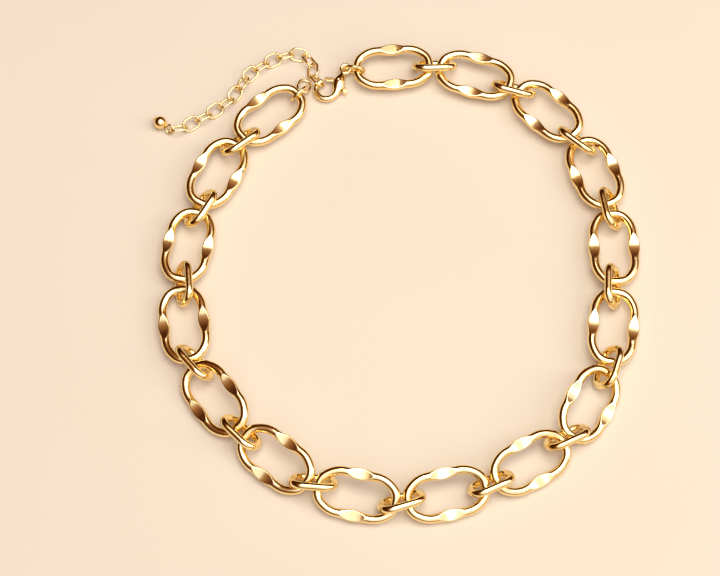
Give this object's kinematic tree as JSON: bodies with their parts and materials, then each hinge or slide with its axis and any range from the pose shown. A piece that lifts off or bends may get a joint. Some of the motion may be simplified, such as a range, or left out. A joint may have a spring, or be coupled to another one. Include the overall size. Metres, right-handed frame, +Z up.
{
  "type": "chain necklace",
  "caption": "Closed chain necklace of large oval links pinched flat on both sides, with plain connector rings, a lobster clasp and a fine extender chain with an end bead.",
  "frame": {"origin": "On the ground, under the middle of the necklace's box as it lies in a closed loop", "axes": "+Z up from the surface it lies on, -Y to the front of the loop, away from the clasp, +X to the right with the clasp at the back left"},
  "size_m": [0.1446, 0.153, 0.0084],
  "materials": {
    "gold_plate": "high polish, gold plated",
    "spring_steel": "bright spring steel"
  },
  "bodies": {
    "link_01": {"pinched_link_01": "gold_plate"},
    "link_02": {"pinched_link_02": "gold_plate"},
    "link_03": {"pinched_link_03": "gold_plate"},
    "link_04": {"pinched_link_04": "gold_plate"},
    "link_05": {"pinched_link_05": "gold_plate"},
    "link_06": {"pinched_link_06": "gold_plate"},
    "link_07": {"pinched_link_07": "gold_plate"},
    "link_08": {"pinched_link_08": "gold_plate"},
    "link_09": {"pinched_link_09": "gold_plate"},
    "link_10": {"pinched_link_10": "gold_plate"},
    "link_11": {"pinched_link_11": "gold_plate"},
    "link_12": {"pinched_link_12": "gold_plate"},
    "link_13": {"pinched_link_13": "gold_plate"},
    "link_14": {"pinched_link_14": "gold_plate"},
    "link_15": {"pinched_link_15": "gold_plate"},
    "link_16": {"pinched_link_16": "gold_plate"},
    "ring_01": {"connector_ring_01": "gold_plate"},
    "ring_02": {"connector_ring_02": "gold_plate"},
    "ring_03": {"connector_ring_03": "gold_plate"},
    "ring_04": {"connector_ring_04": "gold_plate"},
    "ring_05": {"connector_ring_05": "gold_plate"},
    "ring_06": {"connector_ring_06": "gold_plate"},
    "ring_07": {"connector_ring_07": "gold_plate"},
    "ring_08": {"connector_ring_08": "gold_plate"},
    "ring_09": {"connector_ring_09": "gold_plate"},
    "ring_10": {"connector_ring_10": "gold_plate"},
    "ring_11": {"connector_ring_11": "gold_plate"},
    "ring_12": {"connector_ring_12": "gold_plate"},
    "ring_13": {"connector_ring_13": "gold_plate"},
    "ring_14": {"connector_ring_14": "gold_plate"},
    "ring_15": {"connector_ring_15": "gold_plate"},
    "clasp_ring": {"clasp_jump_ring": "gold_plate"},
    "clasp": {"clasp_body": "gold_plate", "clasp_pivot_pin": "gold_plate", "clasp_spring": "spring_steel"},
    "lever": {"clasp_lever": "gold_plate"},
    "extender_ring": {"extender_jump_ring": "gold_plate"},
    "fine_01": {"extender_link_01": "gold_plate"},
    "fine_02": {"extender_link_02": "gold_plate"},
    "fine_03": {"extender_link_03": "gold_plate"},
    "fine_04": {"extender_link_04": "gold_plate"},
    "fine_05": {"extender_link_05": "gold_plate"},
    "fine_06": {"extender_link_06": "gold_plate"},
    "fine_07": {"extender_link_07": "gold_plate"},
    "fine_08": {"extender_link_08": "gold_plate"},
    "fine_09": {"extender_link_09": "gold_plate"},
    "fine_10": {"extender_link_10": "gold_plate"},
    "fine_11": {"extender_link_11": "gold_plate"},
    "fine_12": {"extender_link_12": "gold_plate"},
    "fine_13": {"extender_link_13": "gold_plate"},
    "fine_14": {"extender_link_14": "gold_plate"},
    "fine_15": {"extender_link_15": "gold_plate"},
    "fine_16": {"extender_link_16": "gold_plate"},
    "bead": {"end_bead": "gold_plate", "end_bead_pin": "gold_plate"}
  },
  "joints": [
    {"name": "lift_ring_01", "type": "hinge", "parent": "link_01", "child": "ring_01", "pos_m": [-0.04514, 0.0449, 0.00385], "axis": [-0.6522, 0.753, 0.0872], "range_deg": [-35, 0]},
    {"name": "swing_link_02", "type": "hinge", "parent": "ring_01", "child": "link_02", "pos_m": [-0.04727, 0.04213, 0.00385], "axis": [0.3993, -0.5037, 0.766], "range_deg": [-30, 0]},
    {"name": "lift_ring_02", "type": "hinge", "parent": "link_02", "child": "ring_02", "pos_m": [-0.05695, 0.02237, 0.00385], "axis": [-0.8954, 0.4385, 0.0767], "range_deg": [-35, 0]},
    {"name": "swing_link_03", "type": "hinge", "parent": "ring_02", "child": "link_03", "pos_m": [-0.05803, 0.01904, 0.00385], "axis": [0.5617, -0.3125, 0.766], "range_deg": [-30, 0]},
    {"name": "lift_ring_03", "type": "hinge", "parent": "link_03", "child": "ring_03", "pos_m": [-0.06188, -0.00262, 0.00385], "axis": [0.9841, -0.1749, -0.0305], "range_deg": [0, 35]},
    {"name": "rock_link_04", "type": "hinge", "parent": "ring_03", "child": "link_04", "pos_m": [-0.06192, -0.00612, 0.00385], "axis": [0.879, 0.0835, -0.4695], "range_deg": [0, 25]},
    {"name": "lift_ring_04", "type": "hinge", "parent": "link_04", "child": "ring_04", "pos_m": [-0.0585, -0.02785, 0.00385], "axis": [0.9821, 0.1544, 0.1082], "range_deg": [0, 35]},
    {"name": "rock_link_05", "type": "hinge", "parent": "ring_04", "child": "link_05", "pos_m": [-0.05716, -0.03109, 0.00385], "axis": [0.6309, 0.5378, 0.5592], "range_deg": [-25, 0]},
    {"name": "lift_ring_05", "type": "hinge", "parent": "link_05", "child": "ring_05", "pos_m": [-0.04425, -0.0489, 0.00385], "axis": [-0.7607, -0.5517, -0.342], "range_deg": [0, 35]},
    {"name": "rock_link_06", "type": "hinge", "parent": "ring_05", "child": "link_06", "pos_m": [-0.04182, -0.05142, 0.00385], "axis": [0.5421, 0.5413, 0.6428], "range_deg": [-25, 0]},
    {"name": "lift_ring_06", "type": "hinge", "parent": "link_06", "child": "ring_06", "pos_m": [-0.02449, -0.06497, 0.00385], "axis": [0.579, 0.7401, 0.342], "range_deg": [-22, 0]},
    {"name": "rock_link_07", "type": "hinge", "parent": "ring_06", "child": "link_07", "pos_m": [-0.02132, -0.06645, 0.00385], "axis": [0.0671, 0.7631, 0.6428], "range_deg": [-25, 0]},
    {"name": "lift_ring_07", "type": "hinge", "parent": "link_07", "child": "ring_07", "pos_m": [0.0002, -0.07104, 0.00385], "axis": [0.1957, 0.9191, 0.342], "range_deg": [-18.5, 0]},
    {"name": "rock_link_08", "type": "hinge", "parent": "ring_07", "child": "link_08", "pos_m": [0.0037, -0.071, 0.00385], "axis": [0.2302, -0.7306, -0.6428], "range_deg": [0, 9]},
    {"name": "lift_ring_08", "type": "hinge", "parent": "link_08", "child": "ring_08", "pos_m": [0.02514, -0.06606, 0.00385], "axis": [-0.2113, 0.9156, 0.342], "range_deg": [-35, 0]},
    {"name": "swing_link_09", "type": "hinge", "parent": "ring_08", "child": "link_09", "pos_m": [0.02839, -0.06478, 0.00385], "axis": [-0.2666, 0.5849, -0.766], "range_deg": [0, 30]},
    {"name": "lift_ring_09", "type": "hinge", "parent": "link_09", "child": "ring_09", "pos_m": [0.04744, -0.05377, 0.00385], "axis": [0.4699, -0.8137, -0.342], "range_deg": [0, 35]},
    {"name": "swing_link_10", "type": "hinge", "parent": "ring_09", "child": "link_10", "pos_m": [0.0499, -0.05128, 0.00385], "axis": [-0.2769, 0.5801, -0.766], "range_deg": [0, 30]},
    {"name": "lift_ring_10", "type": "hinge", "parent": "link_10", "child": "ring_10", "pos_m": [0.06055, -0.03203, 0.00385], "axis": [-0.8252, 0.457, 0.3318], "range_deg": [-35, 0]},
    {"name": "swing_link_11", "type": "hinge", "parent": "ring_10", "child": "link_11", "pos_m": [0.06166, -0.02871, 0.00385], "axis": [-0.6097, 0.2037, -0.766], "range_deg": [0, 30]},
    {"name": "lift_ring_11", "type": "hinge", "parent": "link_11", "child": "ring_11", "pos_m": [0.06471, -0.00692, 0.00385], "axis": [0.9857, -0.1379, -0.0966], "range_deg": [0, 23]},
    {"name": "rock_link_12", "type": "hinge", "parent": "ring_11", "child": "link_12", "pos_m": [0.06492, -0.00343, 0.00385], "axis": [-0.8813, 0.0532, -0.4695], "range_deg": [0, 25]},
    {"name": "lift_ring_12", "type": "hinge", "parent": "link_12", "child": "ring_12", "pos_m": [0.06452, 0.01857, 0.00385], "axis": [0.9998, 0.0183, 0.0032], "range_deg": [0, 35]},
    {"name": "rock_link_13", "type": "hinge", "parent": "ring_12", "child": "link_13", "pos_m": [0.06391, 0.02201, 0.00385], "axis": [0.8163, 0.1448, 0.5592], "range_deg": [-25, 4]},
    {"name": "lift_ring_13", "type": "hinge", "parent": "link_13", "child": "ring_13", "pos_m": [0.05672, 0.04281, 0.00385], "axis": [-0.9436, -0.3261, -0.057], "range_deg": [-35, 0]},
    {"name": "rock_link_14", "type": "hinge", "parent": "ring_13", "child": "link_14", "pos_m": [0.05484, 0.04576, 0.00385], "axis": [-0.5376, -0.6311, -0.5592], "range_deg": [-13.5, 25]},
    {"name": "lift_ring_14", "type": "hinge", "parent": "link_14", "child": "ring_14", "pos_m": [0.03899, 0.06102, 0.00385], "axis": [0.691, 0.7175, 0.0872], "range_deg": [0, 26]},
    {"name": "rock_link_15", "type": "hinge", "parent": "ring_14", "child": "link_15", "pos_m": [0.03597, 0.06279, 0.00385], "axis": [-0.2293, -0.7309, -0.6428], "range_deg": [-11.5, 25]},
    {"name": "lift_ring_15", "type": "hinge", "parent": "link_15", "child": "ring_15", "pos_m": [0.01492, 0.06919, 0.00385], "axis": [0.2897, 0.9531, 0.0872], "range_deg": [0, 35]},
    {"name": "rock_link_16", "type": "hinge", "parent": "ring_15", "child": "link_16", "pos_m": [0.01145, 0.06958, 0.00385], "axis": [-0.0214, 0.7657, 0.6428], "range_deg": [-25, 19.5]},
    {"name": "lift_clasp_ring", "type": "hinge", "parent": "link_16", "child": "clasp_ring", "pos_m": [-0.0105, 0.068, 0.00385], "axis": [0.0713, -0.9936, -0.0872], "range_deg": [-35, 35]},
    {"name": "swing_clasp", "type": "hinge", "parent": "clasp_ring", "child": "clasp", "pos_m": [-0.01401, 0.06901, 0.00255], "axis": [-0.1418, -0.9642, -0.2241], "range_deg": [-6, 25]},
    {"name": "open_lever", "type": "hinge", "parent": "clasp", "child": "lever", "pos_m": [-0.01617, 0.06513, 0.00212], "axis": [-0.0522, -0.0804, 0.9954], "range_deg": [0, 25], "stiffness_Nm_per_rad": 0.015, "springref_deg": -17.19, "deforming": ["clasp_spring"]},
    {"name": "lift_fine_02", "type": "hinge", "parent": "clasp", "child": "fine_02", "pos_m": [-0.02202, 0.06457, 0.00177], "axis": [0.7289, 0.6783, 0.093], "range_deg": [-35, 7.5]},
    {"name": "swing_fine_03", "type": "hinge", "parent": "fine_02", "child": "fine_03", "pos_m": [-0.02417, 0.06687, 0.0018], "axis": [0, 0, 1], "range_deg": [-20, 10]},
    {"name": "lift_fine_04", "type": "hinge", "parent": "fine_03", "child": "fine_04", "pos_m": [-0.02399, 0.07146, 0.00154], "axis": [-0.7656, 0.0267, -0.6428], "range_deg": [-35, 35]},
    {"name": "swing_fine_05", "type": "hinge", "parent": "fine_04", "child": "fine_05", "pos_m": [-0.02646, 0.07436, 0.00154], "axis": [0, 0, 1], "range_deg": [-20, 0]},
    {"name": "lift_fine_06", "type": "hinge", "parent": "fine_05", "child": "fine_06", "pos_m": [-0.031, 0.07497, 0.00154], "axis": [0.1066, 0.7586, 0.6428], "range_deg": [-35, 11.5]},
    {"name": "swing_fine_07", "type": "hinge", "parent": "fine_06", "child": "fine_07", "pos_m": [-0.03453, 0.07361, 0.00154], "axis": [0, 0, -1], "range_deg": [-11, 20]},
    {"name": "lift_fine_08", "type": "hinge", "parent": "fine_07", "child": "fine_08", "pos_m": [-0.03863, 0.07143, 0.00154], "axis": [-0.3596, 0.6764, 0.6428], "range_deg": [-35, 20.5]},
    {"name": "swing_fine_09", "type": "hinge", "parent": "fine_08", "child": "fine_09", "pos_m": [-0.04171, 0.06929, 0.00154], "axis": [0, 0, 1], "range_deg": [-20, 16.5]},
    {"name": "lift_fine_10", "type": "hinge", "parent": "fine_09", "child": "fine_10", "pos_m": [-0.04494, 0.06595, 0.00154], "axis": [0.551, -0.5321, -0.6428], "range_deg": [-35, 35]},
    {"name": "swing_fine_11", "type": "hinge", "parent": "fine_10", "child": "fine_11", "pos_m": [-0.04646, 0.06251, 0.00154], "axis": [0, 0, -1], "range_deg": [-20, 20]},
    {"name": "lift_fine_12", "type": "hinge", "parent": "fine_11", "child": "fine_12", "pos_m": [-0.04906, 0.05865, 0.00154], "axis": [0.6351, -0.4284, -0.6428], "range_deg": [-35, 35]},
    {"name": "swing_fine_13", "type": "hinge", "parent": "fine_12", "child": "fine_13", "pos_m": [-0.05192, 0.05622, 0.00154], "axis": [0, 0, -1], "range_deg": [-20, 20]},
    {"name": "lift_fine_14", "type": "hinge", "parent": "fine_13", "child": "fine_14", "pos_m": [-0.05564, 0.05342, 0.00154], "axis": [0.461, -0.6118, -0.6428], "range_deg": [-35, 35]},
    {"name": "swing_fine_15", "type": "hinge", "parent": "fine_14", "child": "fine_15", "pos_m": [-0.05891, 0.05159, 0.00154], "axis": [0, 0, -1], "range_deg": [-20, 20]},
    {"name": "lift_fine_16", "type": "hinge", "parent": "fine_15", "child": "fine_16", "pos_m": [-0.06267, 0.04886, 0.00154], "axis": [0.4503, -0.6197, -0.6428], "range_deg": [-35, 35]},
    {"name": "swing_bead", "type": "hinge", "parent": "fine_16", "child": "bead", "pos_m": [-0.06643, 0.04841, 0.00154], "axis": [0, 0, -1], "range_deg": [-20, 0]},
    {"name": "lift_extender_ring", "type": "hinge", "parent": "link_01", "child": "extender_ring", "pos_m": [-0.0285, 0.0593, 0.00385], "axis": [-0.6522, 0.753, 0.0872], "range_deg": [-3.5, 35]},
    {"name": "swing_fine_01", "type": "hinge", "parent": "extender_ring", "child": "fine_01", "pos_m": [-0.02702, 0.06209, 0.00164], "axis": [0.6172, 0.2606, 0.7424], "range_deg": [-30, 30]}
  ]
}
